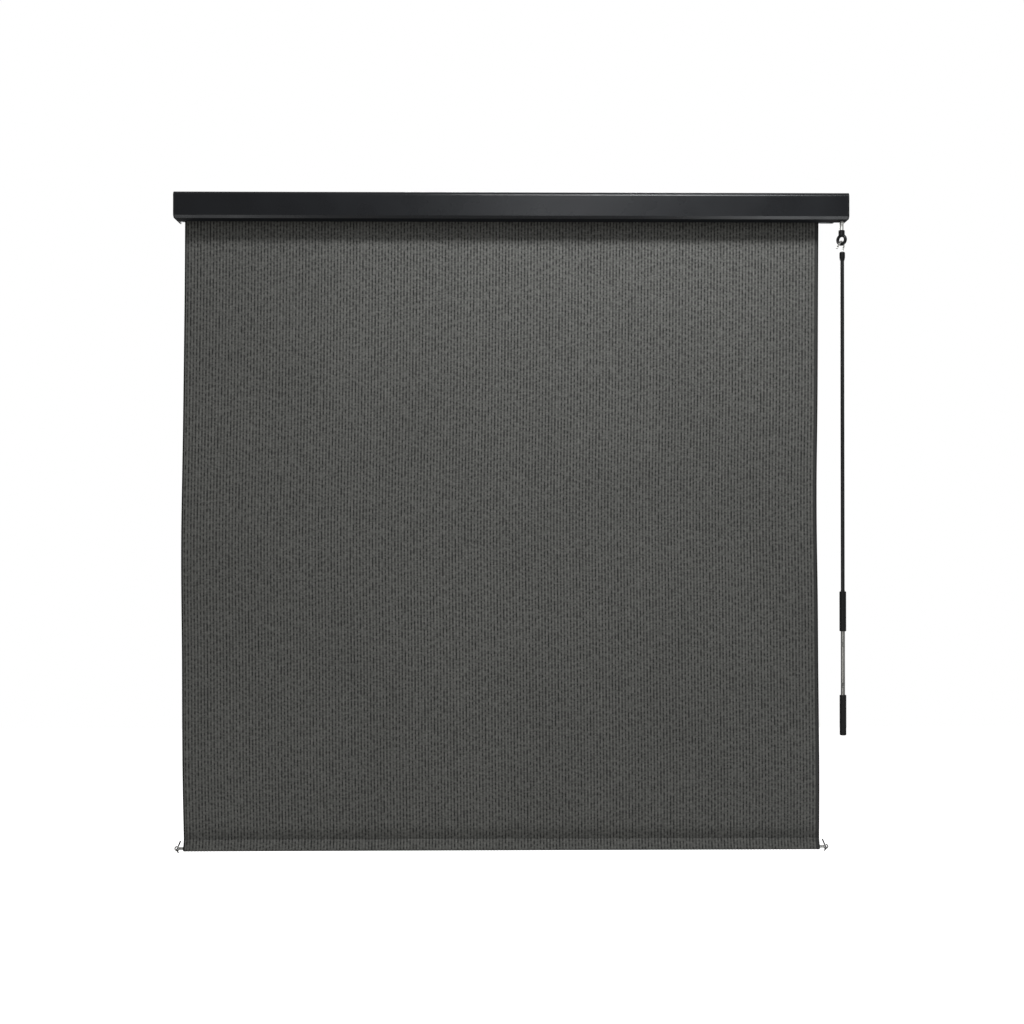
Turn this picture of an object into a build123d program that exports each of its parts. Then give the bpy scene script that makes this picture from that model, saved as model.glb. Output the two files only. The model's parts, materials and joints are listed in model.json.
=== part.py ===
"""Outdoor roller blind: hood, roller, worm gear, knitted drop, tube rail and folding hand crank.

X runs to the right, Y towards the wall and Z up. The origin lies on the wall, level with the
roller's axis and midway between the wall holes. The blind is drawn fully lowered.
"""
import os
from math import asin, cos, pi, radians, sin, sqrt

from build123d import *

# Clearances shared by all pieces
fixed_fit = 0.05
running_fit = 0.06
seat_gap = 0.3
overrun = 2.0

# Hood
pelmet_width = 2100.0
pelmet_height = 83.0
pelmet_depth = 99.0
wall_gap = 1.0
axis_below_top = 42.0
cover_wall = 1.6
cover_top_radius = 13.0
cover_chamfer = 8.0
return_depth = 55.0
return_lip = 6.0
port_bore_radius = 1.9
port_wall = 1.8
port_slot = 2.0
port_merge = 0.6
port_setback = 2.0
cap_thickness = 5.0
cap_corner_radius = 3.0
cap_edge_radius = 1.0
cap_tab_depth = 12.0
cap_tab_wall = 2.0
cap_tab_length = 22.0
cap_tab_setback = 14.0

# Countersunk screws
screw_radius = 1.85
screw_head_radius = 3.7
screw_length = 18.0
screw_clearance = 0.2
cover_screw_length = 6.0

# Wall brackets
bracket_wall = 3.0
bracket_bend = 2.0
bracket_gap = 0.3
idle_reach = 62.0
gear_reach = 78.0
flange_inset = 75.0
top_tab_front = 60.0
top_tab_rear = 25.0
wall_hole_radius = 3.25
wall_hole_inset = 55.0
wall_hole_spacing = 40.0

# Roller
roller_depth = 47.0
tube_radius = 25.0
tube_wall = 1.6
key_bore_radius = 3.0
key_wall = 1.4
key_slot = 2.4
keeper_clearance = 0.3
plug_flange = 2.5
plug_length = 42.0
plug_play = 0.7
idle_pin_radius = 5.0
idle_pin_chamfer = 1.0
bush_wall = 4.0
bush_flange = 1.5
bush_flange_wall = 7.0

# Worm gear
gear_module = 1.5
worm_starts = 2
worm_pitch_diameter = 13.0
worm_length = 24.0
worm_tip_share = 0.075
worm_root_share = 0.32
wheel_teeth = 14
wheel_face = 10.0
wheel_tip_share = 0.06
wheel_pitch_share = 0.175
wheel_root_share = 0.26
dedendum_share = 1.25
flank_points = 4
wheel_hub_radius = 7.0
wheel_hub_proud = 4.0
wheel_hub_seat = 4.0
wheel_pocket_clearance = 0.8
hex_radius = 4.6
hex_grip = 38.0
worm_inset = 11.0
gearbox_cap_gap = 0.5
gearbox_half_height = 19.0
gearbox_wall = 4.5
gearbox_edge_radius = 2.0
gearbox_screw_inset = 4.5
worm_clearance = 0.3
worm_journal_radius = 4.5
worm_top_journal = 5.2
washer_thickness = 1.0
washer_wall = 2.6

# Gear eye below the hood
eye_barrel_radius = 6.6
eye_barrel_top = 32.0
eye_collar_top = 69.4
eye_collar_radius = 10.0
eye_collar_length = 18.0
eye_collar_rounding = 2.5
eye_shaft_end = 80.0
eye_ring_radius = 13.5
eye_wire_radius = 5.0
eye_ring_bottom = 117.6
eye_turn_deg = 45.0
eye_hole_clearance = 2.0
cross_pin_radius = 1.6
cross_pin_height = 62.0

# Hand crank
hook_wire_radius = 3.0
hook_tip_reach = 27.0
hook_stem_reach = 14.8
hook_stem_drop = 22.0
hook_shoulder_radius = 6.0
hook_neck_radius = 8.0
hook_tip_radius = 3.5
hook_seat_depth = 20.0
rod_offset = 3.5
ferrule_top_drop = 24.8
ferrule_length = 26.6
ferrule_cap = 8.6
ferrule_radius = 9.0
ferrule_top_radius = 7.6
ferrule_end_radius = 7.0
ferrule_shoulder = 3.0
ferrule_taper = 10.0
rod_radius = 6.0
rod_wall = 1.2
rod_length = 1181.5
rod_bead = 0.8
rod_bead_length = 3.0
grip_radius = 10.4
grip_rounding = 2.5
upper_grip_length = 125.0
lower_grip_length = 126.4
bar_radius = 6.5
fork_seat = 60.0
fork_neck = 40.0
arm_length = 128.5
spindle_neck = 30.0
spindle_radius = 5.0
spindle_end = 6.0
tongue_thickness = 4.8
fork_slot_clearance = 0.2
knuckle_clearance = 0.8
knuckle_flat = 5.6
hinge_pin_radius = 2.5
hinge_head_radius = 3.8
hinge_head = 1.2
handle_screw_radius = 2.0
handle_screw_length = 14.0
handle_head_radius = 7.2
handle_head = 2.6

# Knitted sheet and its hem
fabric_left_margin = 17.0
fabric_right_margin = 79.0
fabric_thickness = 0.9
fabric_turns = 2
rib_pitch = 10.0
rib_height = 0.35
rib_foot_share = 0.2
rib_crest_share = 0.34
total_height = 2062.0
hem_height = 38.0
hem_clearance = 0.3
hem_crease = 0.1

# Rail in the hem
rail_radius = 8.0
rail_wall = 1.2
rail_inset = 1.0
rail_plug_flange = 2.0
rail_plug_radius = 8.2
rail_plug_depth = 20.0
eye_stud_radius = 3.0
eye_stud_length = 15.0
eye_shank_radius = 4.5
eye_shank_length = 13.5
tie_ring_radius = 6.2
tie_wire_radius = 2.1
tie_ring_bite = 1.5
tie_hook_radius = 2.2
tie_hook_spread = 5.0
tie_hook_rise = 23.0
tie_hook_lean = 9.5
tie_hook_drop = 9.0
tie_hook_toe = 5.0
tie_hook_bend = 4.4
tie_hook_rest = 0.25

# Places worked out from the sizes above
pelmet_front_y = -(wall_gap + pelmet_depth)
pelmet_top_z = axis_below_top
pelmet_bottom_z = axis_below_top - pelmet_height
return_rear_y = pelmet_front_y + return_depth
cover_end = pelmet_width / 2 - cap_thickness
cover_top_inner_z = pelmet_top_z - cover_wall
cover_front_inner_y = pelmet_front_y + cover_wall
port_radius = port_bore_radius + port_wall
port_reach = port_radius - port_merge
cover_bend_radius = cover_top_radius - cover_wall
port_inset = cover_bend_radius - (cover_bend_radius - port_reach) / sqrt(2)
top_port = (cover_front_inner_y + port_inset, cover_top_inner_z - port_inset)
low_port = (
    pelmet_front_y + cover_chamfer + port_setback + port_radius,
    pelmet_bottom_z + cover_wall + port_reach,
)
roller_y = -roller_depth
eye_x = cover_end - worm_inset
worm_radius = worm_pitch_diameter / 2
wheel_radius = gear_module * wheel_teeth / 2
eye_y = roller_y - wheel_radius - worm_radius
worm_tip_radius = worm_radius + gear_module
wheel_tip_radius = wheel_radius + gear_module
gearbox_half = worm_inset - gearbox_cap_gap
gear_plate_x = eye_x - gearbox_half
gearbox_front_y = eye_y - worm_tip_radius - worm_clearance - gearbox_wall
gearbox_rear_y = roller_y + wheel_tip_radius + wheel_pocket_clearance + gearbox_wall
gearbox_screw_places = [
    (y, z)
    for y in (gearbox_front_y + gearbox_screw_inset, gearbox_rear_y - gearbox_screw_inset)
    for z in (
        gearbox_half_height - gearbox_screw_inset,
        gearbox_screw_inset - gearbox_half_height,
    )
]
idle_plate_x = cover_end - bracket_gap
flange_end = cover_end - flange_inset
bracket_drop = -pelmet_bottom_z - return_lip - bracket_gap
wall_hole_x = cover_end - wall_hole_inset
cover_screw_x = flange_end + (gear_plate_x - flange_end) / 2
cover_screw_y = -(top_tab_front + top_tab_rear) / 2
bush_radius = idle_pin_radius + bush_wall
wheel_hub_x = gear_plate_x - bracket_wall - wheel_hub_proud
drive_flange_x = wheel_hub_x - plug_play
tube_right = drive_flange_x - plug_flange
idle_flange_x = idle_plate_x - bracket_wall - bush_flange - plug_play
tube_left = idle_flange_x - plug_flange
tube_bore_radius = tube_radius - tube_wall
key_place = tube_radius - key_wall - key_bore_radius
roll_radius = tube_radius + running_fit + fabric_turns * fabric_thickness
fabric_left_x = -pelmet_width / 2 + fabric_left_margin
fabric_right_x = pelmet_width / 2 - fabric_right_margin
fabric_width = fabric_right_x - fabric_left_x
sheet_half = fabric_thickness / 2 + rib_height
sheet_y = roller_y + roll_radius + seat_gap + sheet_half
blind_bottom_z = pelmet_top_z - total_height
hem_radius = rail_radius + hem_clearance + fabric_thickness
rail_z = blind_bottom_z + hem_radius
hem_top_z = blind_bottom_z + hem_height
drop_length = -hem_top_z - seat_gap
half_turn = radians(eye_turn_deg)
hook_way = Vector(-cos(half_turn), -sin(half_turn), 0)
eye_bar_z = -eye_ring_bottom + eye_wire_radius
eye_ring_z = eye_bar_z + eye_ring_radius
rod_x = eye_x - hook_way.X * rod_offset
rod_y = eye_y - hook_way.Y * rod_offset
ferrule_top_z = eye_bar_z - ferrule_top_drop
rod_top_z = ferrule_top_z - ferrule_cap
rod_bottom_z = rod_top_z - rod_length
upper_hinge_z = rod_bottom_z - fork_neck
lower_hinge_z = upper_hinge_z - arm_length
spindle_shoulder_z = lower_hinge_z - spindle_neck
lower_grip_top_z = spindle_shoulder_z - seat_gap
lower_grip_bottom_z = lower_grip_top_z - lower_grip_length
spindle_bottom_z = lower_grip_bottom_z + spindle_end


def across(x):
    """Plane square to the roller's axis at x, with its normal along +X."""
    return Plane(origin=(x, roller_y, 0), x_dir=(0, 1, 0), z_dir=(1, 0, 0))


def level(z, x=0, y=0):
    """Level plane at height z, centred on x and y."""
    return Plane(origin=(x, y, z))


def facing(x, y, z, normal):
    """Plane at a point, with its normal given."""
    return Plane(origin=(x, y, z), z_dir=normal)


def polar_point(radius, angle):
    """Point at a radius and an angle in radians."""
    return (radius * cos(angle), radius * sin(angle))


def countersunk_screw(length):
    """Screw with its flat head at the origin and its shank down the local Z."""
    head_depth = screw_head_radius - screw_radius
    with BuildPart() as screw:
        with BuildSketch(Plane.XZ):
            Polygon(
                (0, 0),
                (screw_head_radius, 0),
                (screw_radius, -head_depth),
                (screw_radius, -length),
                (0, -length),
                align=None,
            )
        revolve(axis=Axis.Z)
    return screw.part


def teardrop(radius, tip_radius, height):
    """Outline round a circle at the origin and a smaller one above it, joined by tangents."""
    slope = asin((radius - tip_radius) / height)
    low_right = polar_point(radius, slope)
    low_left = (-low_right[0], low_right[1])
    tip = polar_point(tip_radius, slope)
    top_right = (tip[0], height + tip[1])
    top_left = (-tip[0], height + tip[1])
    with BuildSketch() as outline:
        with BuildLine():
            ThreePointArc(low_left, (0, -radius), low_right)
            Line(low_right, top_right)
            ThreePointArc(top_right, (0, height + tip_radius), top_left)
            Line(top_left, low_left)
        make_face()
    return outline.sketch


def write(piece, name):
    """Label a finished piece and store it under its own name."""
    piece.part.label = name
    export_step(piece.part, f"parts/{name}.step")


os.makedirs("parts", exist_ok=True)

# Hood: one folded cover with screw ports, open at the back and behind the return flange
with BuildPart() as pelmet_cover:
    with BuildSketch(Plane.YZ.offset(-cover_end)):
        with BuildLine():
            cover_path = Polyline(
                (-wall_gap, pelmet_top_z),
                (pelmet_front_y, pelmet_top_z),
                (pelmet_front_y, pelmet_bottom_z + cover_chamfer),
                (pelmet_front_y + cover_chamfer, pelmet_bottom_z),
                (return_rear_y, pelmet_bottom_z),
                (return_rear_y, pelmet_bottom_z + return_lip),
            )
            fillet(cover_path.vertices().sort_by(Axis.Y)[-2:].sort_by(Axis.X)[0], cover_top_radius)
            offset(amount=cover_wall, side=Side.RIGHT, kind=Kind.INTERSECTION)
        make_face()
        for port, slot_turn in ((top_port, -45), (low_port, 90)):
            with Locations(port):
                Circle(port_radius)
                Circle(port_bore_radius, mode=Mode.SUBTRACT)
                Rectangle(
                    port_radius + overrun,
                    port_slot,
                    rotation=slot_turn,
                    align=(Align.MIN, Align.CENTER),
                    mode=Mode.SUBTRACT,
                )
    extrude(amount=2 * cover_end)
    with BuildSketch(Plane.XY.offset(pelmet_bottom_z - overrun)):
        with Locations((eye_x, eye_y)):
            Circle(eye_barrel_radius + eye_hole_clearance)
    extrude(amount=cover_wall + 2 * overrun, mode=Mode.SUBTRACT)
    with Locations(*[(s * cover_screw_x, cover_screw_y, pelmet_top_z) for s in (-1, 1)]):
        CounterSinkHole(
            screw_radius + screw_clearance,
            screw_head_radius + screw_clearance,
            depth=cover_wall + overrun,
        )
write(pelmet_cover, "pelmet_cover")

for side, name in ((-1, "left_end_cap"), (1, "right_end_cap")):
    with BuildPart() as end_cap:
        with BuildSketch(Plane.YZ.offset(side * cover_end)):
            Polygon(
                (-wall_gap, pelmet_top_z),
                (pelmet_front_y, pelmet_top_z),
                (pelmet_front_y, pelmet_bottom_z + cover_chamfer),
                (pelmet_front_y + cover_chamfer, pelmet_bottom_z),
                (-wall_gap, pelmet_bottom_z),
                align=None,
            )
            front_top = vertices().sort_by(Axis.Y)[-2:].sort_by(Axis.X)[0]
            fillet(front_top, cover_top_radius)
            fillet(vertices().sort_by(Axis.X)[-2:], cap_corner_radius)
        extrude(amount=side * cap_thickness)
        fillet(faces().sort_by(Axis.X, reverse=side > 0)[0].edges(), cap_edge_radius)
        with Locations(
            (
                side * (cover_end - cap_tab_depth / 2),
                pelmet_front_y + cap_tab_setback + cap_tab_length / 2,
                cover_top_inner_z - screw_clearance - cap_tab_wall / 2,
            )
        ):
            Box(cap_tab_depth, cap_tab_length, cap_tab_wall)
        with Locations(
            (
                side * (cover_end - cap_tab_depth / 2),
                cover_front_inner_y + screw_clearance + cap_tab_wall / 2,
                0,
            )
        ):
            Box(cap_tab_depth, cap_tab_wall, cap_tab_length)
        outer_x = side * (cover_end + cap_thickness)
        with Locations(*[facing(outer_x, y, z, (side, 0, 0)) for y, z in (top_port, low_port)]):
            CounterSinkHole(
                screw_radius + screw_clearance,
                screw_head_radius + screw_clearance,
                depth=cap_thickness + overrun,
            )
    write(end_cap, name)

with BuildPart() as end_cap_screws:
    with Locations(
        *[
            facing(side * (cover_end + cap_thickness), y, z, (side, 0, 0))
            for side in (-1, 1)
            for y, z in (top_port, low_port)
        ]
    ):
        add(countersunk_screw(screw_length))
write(end_cap_screws, "end_cap_screws")

with BuildPart() as cover_screws:
    with Locations(*[(s * cover_screw_x, cover_screw_y, pelmet_top_z) for s in (-1, 1)]):
        add(countersunk_screw(cover_screw_length))
write(cover_screws, "cover_screws")

# Wall brackets: side plate, wall flange and top tab folded from one sheet
for side, plate_x, reach, bore_radius, name in (
    (-1, idle_plate_x, idle_reach, bush_radius + fixed_fit, "idle_bracket"),
    (1, gear_plate_x, gear_reach, wheel_hub_radius + running_fit, "gear_bracket"),
):
    inner_side = Side.RIGHT if side > 0 else Side.LEFT
    with BuildPart() as bracket:
        with BuildSketch(Plane.XY.offset(-bracket_drop)):
            with BuildLine():
                FilletPolyline(
                    (side * flange_end, 0),
                    (side * plate_x, 0),
                    (side * plate_x, -reach),
                    radius=bracket_bend + bracket_wall,
                )
                offset(amount=bracket_wall, side=inner_side)
            make_face()
        extrude(amount=bracket_drop + cover_top_inner_z - bracket_bend - bracket_wall)
        with BuildSketch(Plane.XZ.offset(top_tab_rear)):
            with BuildLine():
                FilletPolyline(
                    (side * flange_end, cover_top_inner_z),
                    (side * plate_x, cover_top_inner_z),
                    (side * plate_x, 0),
                    radius=bracket_bend + bracket_wall,
                )
                offset(amount=bracket_wall, side=inner_side)
            make_face()
        extrude(amount=top_tab_front - top_tab_rear)
        with BuildSketch(across(side * plate_x)):
            Circle(bore_radius)
        extrude(amount=-side * (bracket_wall + overrun), mode=Mode.SUBTRACT)
        with Locations(Plane(origin=(side * wall_hole_x, 0, 0), x_dir=(1, 0, 0), z_dir=(0, -1, 0))):
            with GridLocations(wall_hole_spacing, wall_hole_spacing, 1, 2):
                Cylinder(wall_hole_radius, 2 * (bracket_wall + overrun), mode=Mode.SUBTRACT)
        with Locations((side * cover_screw_x, cover_screw_y, cover_top_inner_z)):
            Cylinder(
                screw_head_radius - cover_wall + fixed_fit,
                2 * (bracket_wall + overrun),
                mode=Mode.SUBTRACT,
            )
        if side > 0:
            with Locations(*[facing(plate_x, y, z, (1, 0, 0)) for y, z in gearbox_screw_places]):
                Cylinder(screw_radius + fixed_fit, 2 * (bracket_wall + overrun), mode=Mode.SUBTRACT)
    write(bracket, name)

with BuildPart() as idle_bush:
    with BuildSketch(across(-idle_plate_x)):
        Circle(bush_radius)
    extrude(amount=bracket_wall)
    with BuildSketch(across(-idle_plate_x + bracket_wall)):
        Circle(idle_pin_radius + bush_flange_wall)
    extrude(amount=bush_flange)
    with BuildSketch(across(-idle_plate_x)):
        Circle(idle_pin_radius + running_fit)
    extrude(amount=bracket_wall + bush_flange + overrun, mode=Mode.SUBTRACT)
write(idle_bush, "idle_bush")

# Roller: keyed tube, end plugs, the last turns of cloth and the spline that holds its edge
with BuildPart() as roller_tube:
    with BuildSketch(across(-tube_left)):
        Circle(tube_radius)
        Circle(tube_bore_radius, mode=Mode.SUBTRACT)
        with Locations((0, key_place)):
            Circle(key_bore_radius + key_wall)
            Circle(key_bore_radius, mode=Mode.SUBTRACT)
            Rectangle(
                key_slot, tube_radius, align=(Align.CENTER, Align.MIN), mode=Mode.SUBTRACT
            )
    extrude(amount=tube_left + tube_right)
write(roller_tube, "roller_tube")

for end_x, inward, bore, name in (
    (-tube_left, 1, "round", "idle_plug"),
    (tube_right, -1, "hex", "drive_plug"),
):
    with BuildPart() as plug:
        with BuildSketch(across(end_x)):
            Circle(tube_bore_radius - fixed_fit)
            with Locations((0, key_place)):
                Circle(key_bore_radius + key_wall + fixed_fit, mode=Mode.SUBTRACT)
        extrude(amount=inward * plug_length)
        with BuildSketch(across(end_x)):
            Circle(tube_radius)
        extrude(amount=-inward * plug_flange)
        with BuildSketch(across(end_x - inward * plug_flange)):
            if bore == "round":
                Circle(idle_pin_radius + fixed_fit)
            else:
                RegularPolygon(hex_radius + fixed_fit, 6)
        extrude(amount=inward * (plug_flange + hex_grip), mode=Mode.SUBTRACT)
    write(plug, name)

with BuildPart() as idle_pin:
    with BuildSketch(across(-idle_plate_x + seat_gap)):
        Circle(idle_pin_radius)
    extrude(amount=idle_plate_x - seat_gap - tube_left + hex_grip)
    chamfer(edges().filter_by(GeomType.CIRCLE), idle_pin_chamfer)
write(idle_pin, "idle_pin")

with BuildPart() as fabric_keeper:
    with BuildSketch(across(fabric_left_x)):
        with Locations((0, key_place)):
            Circle(key_bore_radius - keeper_clearance)
    extrude(amount=fabric_width)
write(fabric_keeper, "fabric_keeper")

with BuildPart() as fabric_roll:
    with BuildSketch(across(fabric_left_x)):
        Circle(roll_radius)
        Circle(tube_radius + running_fit, mode=Mode.SUBTRACT)
    extrude(amount=fabric_width)
write(fabric_roll, "fabric_roll")

# Worm gear: two-start right-hand worm on a level wheel, in a gearbox split at its middle
circular_pitch = pi * gear_module
worm_lead = worm_starts * circular_pitch
worm_root_radius = worm_radius - dedendum_share * gear_module
wheel_root_radius = wheel_radius - dedendum_share * gear_module
start_angle = 2 * pi / worm_starts
tooth_angle = 2 * pi / wheel_teeth
worm_tip_angle = worm_tip_share * start_angle
worm_root_angle = worm_root_share * start_angle
worm_bottom_z = -worm_length / 2
worm_cavity = worm_length / 2 + washer_thickness + fixed_fit

with BuildSketch() as worm_section:
    with BuildLine():
        for start in range(worm_starts):
            crest = pi / 2 + 2 * pi * worm_bottom_z / worm_lead + start * start_angle
            fall = []
            rise = []
            for step in range(flank_points + 1):
                along = step / flank_points
                radius = worm_tip_radius + (worm_root_radius - worm_tip_radius) * along
                angle = worm_tip_angle + (worm_root_angle - worm_tip_angle) * along
                fall.append(polar_point(radius, crest + angle))
                rise.insert(0, polar_point(radius, crest + start_angle - angle))
            ThreePointArc(
                polar_point(worm_tip_radius, crest - worm_tip_angle),
                polar_point(worm_tip_radius, crest),
                fall[0],
            )
            Spline(*fall)
            ThreePointArc(
                fall[-1], polar_point(worm_root_radius, crest + start_angle / 2), rise[0]
            )
            Spline(*rise)
    make_face()

worm_axis = Vector(0, 0, worm_length)
worm_turn_deg = 360 * worm_length / worm_lead
worm_thread = Solid.extrude_linear_with_rotation(
    worm_section.sketch.face(), (0, 0, 0), worm_axis, worm_turn_deg
)
with BuildPart() as worm_shaft:
    with Locations((eye_x, eye_y, worm_bottom_z)):
        add(worm_thread)
    with BuildSketch(level(worm_length / 2, eye_x, eye_y)):
        Circle(worm_journal_radius)
    extrude(amount=worm_top_journal)
    with BuildSketch(level(worm_bottom_z, eye_x, eye_y)):
        Circle(worm_journal_radius)
    extrude(amount=worm_bottom_z + eye_shaft_end, dir=(0, 0, -1))
    with Locations(facing(eye_x, eye_y, -cross_pin_height, (0, -1, 0))):
        Cylinder(
            cross_pin_radius + fixed_fit, 2 * (worm_journal_radius + overrun), mode=Mode.SUBTRACT
        )
write(worm_shaft, "worm_shaft")

worm_slope = worm_lead / (pi * worm_pitch_diameter)
wheel_twist_deg = 360 * wheel_face * worm_slope / (2 * pi * wheel_radius)
wheel_left_x = eye_x - wheel_face / 2
with BuildSketch() as wheel_section:
    with BuildLine():
        for tooth in range(wheel_teeth):
            middle = pi + tooth_angle * (tooth + 1 / 2) - radians(wheel_twist_deg) / 2
            outline = [
                (wheel_root_radius, -wheel_root_share),
                (wheel_radius, -wheel_pitch_share),
                (wheel_tip_radius, -wheel_tip_share),
                (wheel_tip_radius, wheel_tip_share),
                (wheel_radius, wheel_pitch_share),
                (wheel_root_radius, wheel_root_share),
                (wheel_root_radius, 1 - wheel_root_share),
            ]
            Polyline(*[polar_point(r, middle + share * tooth_angle) for r, share in outline])
    make_face()
wheel_teeth_solid = Solid.extrude_linear_with_rotation(
    wheel_section.sketch.face(), (0, 0, 0), (0, 0, wheel_face), wheel_twist_deg
)
with BuildPart() as worm_wheel:
    with Locations(across(wheel_left_x)):
        add(wheel_teeth_solid)
    with BuildSketch(across(wheel_hub_x)):
        Circle(wheel_hub_radius)
    extrude(amount=eye_x + wheel_face / 2 + wheel_hub_seat - wheel_hub_x)
    with BuildSketch(across(wheel_hub_x - overrun)):
        RegularPolygon(hex_radius + fixed_fit, 6)
    extrude(amount=eye_x + wheel_face / 2 - wheel_hub_x + overrun, mode=Mode.SUBTRACT)
write(worm_wheel, "worm_wheel")

with BuildPart() as drive_shaft:
    with BuildSketch(across(tube_right + plug_flange - hex_grip)):
        RegularPolygon(hex_radius, 6)
    extrude(amount=eye_x + wheel_face / 2 - seat_gap - tube_right - plug_flange + hex_grip)
write(drive_shaft, "drive_shaft")

for side, name in ((-1, "gear_case"), (1, "gear_cover")):
    with BuildPart() as half_box:
        with BuildSketch(Plane.YZ.offset(eye_x)):
            with Locations(((gearbox_front_y + gearbox_rear_y) / 2, 0)):
                RectangleRounded(
                    gearbox_rear_y - gearbox_front_y, 2 * gearbox_half_height, gearbox_edge_radius
                )
        extrude(amount=side * gearbox_half)
        with Locations((eye_x, eye_y, 0)):
            Cylinder(worm_tip_radius + worm_clearance, 2 * worm_cavity, mode=Mode.SUBTRACT)
        with BuildSketch(level(worm_length / 2 + worm_top_journal + seat_gap, eye_x, eye_y)):
            Circle(worm_journal_radius + running_fit)
        extrude(amount=-(worm_length + gearbox_half_height), mode=Mode.SUBTRACT)
        with BuildSketch(across(eye_x)):
            Circle(wheel_tip_radius + wheel_pocket_clearance)
        extrude(amount=side * (wheel_face / 2 + seat_gap), mode=Mode.SUBTRACT)
        hub_reach = gearbox_half + overrun
        if side > 0:
            hub_reach = wheel_face / 2 + wheel_hub_seat + seat_gap
        with BuildSketch(across(eye_x)):
            Circle(wheel_hub_radius + running_fit)
        extrude(amount=side * hub_reach, mode=Mode.SUBTRACT)
        with Locations(
            *[facing(eye_x + gearbox_half, y, z, (1, 0, 0)) for y, z in gearbox_screw_places]
        ):
            CounterSinkHole(
                screw_radius + fixed_fit,
                screw_head_radius + screw_clearance,
                depth=2 * gearbox_half + overrun,
            )
    write(half_box, name)

with BuildPart() as gearbox_screws:
    with Locations(
        *[facing(eye_x + gearbox_half, y, z, (1, 0, 0)) for y, z in gearbox_screw_places]
    ):
        add(countersunk_screw(2 * gearbox_half + bracket_wall - seat_gap))
write(gearbox_screws, "gearbox_screws")

with BuildPart() as worm_washers:
    for bottom_z in (worm_length / 2, worm_bottom_z - washer_thickness):
        with BuildSketch(level(bottom_z, eye_x, eye_y)):
            Circle(worm_journal_radius + washer_wall)
            Circle(worm_journal_radius + running_fit, mode=Mode.SUBTRACT)
        extrude(amount=washer_thickness)
write(worm_washers, "worm_washers")

# Gear eye: barrel pinned to the worm's shaft, and a coated collar with its ring
with BuildPart() as eye_barrel:
    with BuildSketch(level(-eye_barrel_top, eye_x, eye_y)):
        Circle(eye_barrel_radius)
        Circle(worm_journal_radius + fixed_fit, mode=Mode.SUBTRACT)
    extrude(amount=eye_barrel_top - eye_collar_top)
    with Locations(facing(eye_x, eye_y, -cross_pin_height, (0, -1, 0))):
        Cylinder(
            cross_pin_radius + fixed_fit, 2 * (eye_barrel_radius + overrun), mode=Mode.SUBTRACT
        )
write(eye_barrel, "eye_barrel")

with BuildPart() as eye_cross_pin:
    with Locations(facing(eye_x, eye_y, -cross_pin_height, (0, -1, 0))):
        Cylinder(cross_pin_radius, 2 * eye_barrel_radius)
write(eye_cross_pin, "eye_cross_pin")

with BuildPart() as eye_ring:
    with BuildSketch(level(-eye_collar_top, eye_x, eye_y)):
        Circle(eye_collar_radius)
    extrude(amount=-eye_collar_length)
    fillet(edges().filter_by(GeomType.CIRCLE), eye_collar_rounding)
    with Locations(facing(eye_x, eye_y, eye_ring_z, hook_way)):
        Torus(eye_ring_radius, eye_wire_radius)
    with BuildSketch(level(-eye_collar_top, eye_x, eye_y)):
        Circle(worm_journal_radius + fixed_fit)
    extrude(amount=eye_collar_top - eye_shaft_end - seat_gap, mode=Mode.SUBTRACT)
write(eye_ring, "eye_ring")

# Hand crank: hook, ferrule and rod hang from the eye's ring
hook_apex = (eye_wire_radius + hook_wire_radius + seat_gap) * sqrt(2)
hook_plane = Plane(
    origin=(eye_x, eye_y, eye_bar_z), x_dir=hook_way, z_dir=hook_way.cross(Vector(0, 0, 1))
)
with BuildPart() as crank_hook:
    with BuildLine(hook_plane) as hook_line:
        FilletPolyline(
            (hook_tip_reach, hook_apex - hook_tip_reach),
            (0, hook_apex),
            (-hook_stem_reach, hook_apex - hook_stem_reach),
            (-rod_offset, -hook_stem_drop),
            (-rod_offset, -ferrule_top_drop - hook_seat_depth),
            radius=[hook_apex / sqrt(2), hook_shoulder_radius, hook_neck_radius],
        )
    with BuildSketch(Plane(origin=hook_line.line @ 0, z_dir=hook_line.line % 0)):
        Circle(hook_wire_radius)
    sweep()
    with Locations(hook_line.line @ 0):
        Sphere(hook_tip_radius)
write(crank_hook, "crank_hook")

ferrule_bottom_z = ferrule_top_z - ferrule_length
with BuildPart() as crank_ferrule:
    with BuildSketch(Plane(origin=(rod_x, rod_y, 0), x_dir=(1, 0, 0), z_dir=(0, -1, 0))):
        Polygon(
            (hook_wire_radius + fixed_fit, ferrule_top_z),
            (ferrule_top_radius, ferrule_top_z),
            (ferrule_radius, ferrule_top_z - ferrule_shoulder),
            (ferrule_radius, ferrule_bottom_z + ferrule_taper),
            (ferrule_end_radius, ferrule_bottom_z),
            (rod_radius + fixed_fit, ferrule_bottom_z),
            (rod_radius + fixed_fit, rod_top_z),
            (hook_wire_radius + fixed_fit, rod_top_z),
            align=None,
        )
    revolve(axis=Axis((rod_x, rod_y, 0), (0, 0, 1)))
write(crank_ferrule, "crank_ferrule")

upper_grip_bottom_z = rod_bottom_z + seat_gap
upper_grip_top_z = upper_grip_bottom_z + upper_grip_length
with BuildPart() as crank_rod:
    with BuildSketch(level(rod_bottom_z, rod_x, rod_y)):
        Circle(rod_radius)
    extrude(amount=rod_length)
    with BuildSketch(level(upper_grip_top_z + seat_gap, rod_x, rod_y)):
        Circle(rod_radius + rod_bead)
    extrude(amount=rod_bead_length)
    chamfer(edges().filter_by(GeomType.CIRCLE).sort_by(SortBy.RADIUS)[-2:], rod_bead / 2)
    with BuildSketch(level(rod_bottom_z, rod_x, rod_y)):
        Circle(rod_radius - rod_wall)
    extrude(amount=rod_length, mode=Mode.SUBTRACT)
write(crank_rod, "crank_rod")

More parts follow.
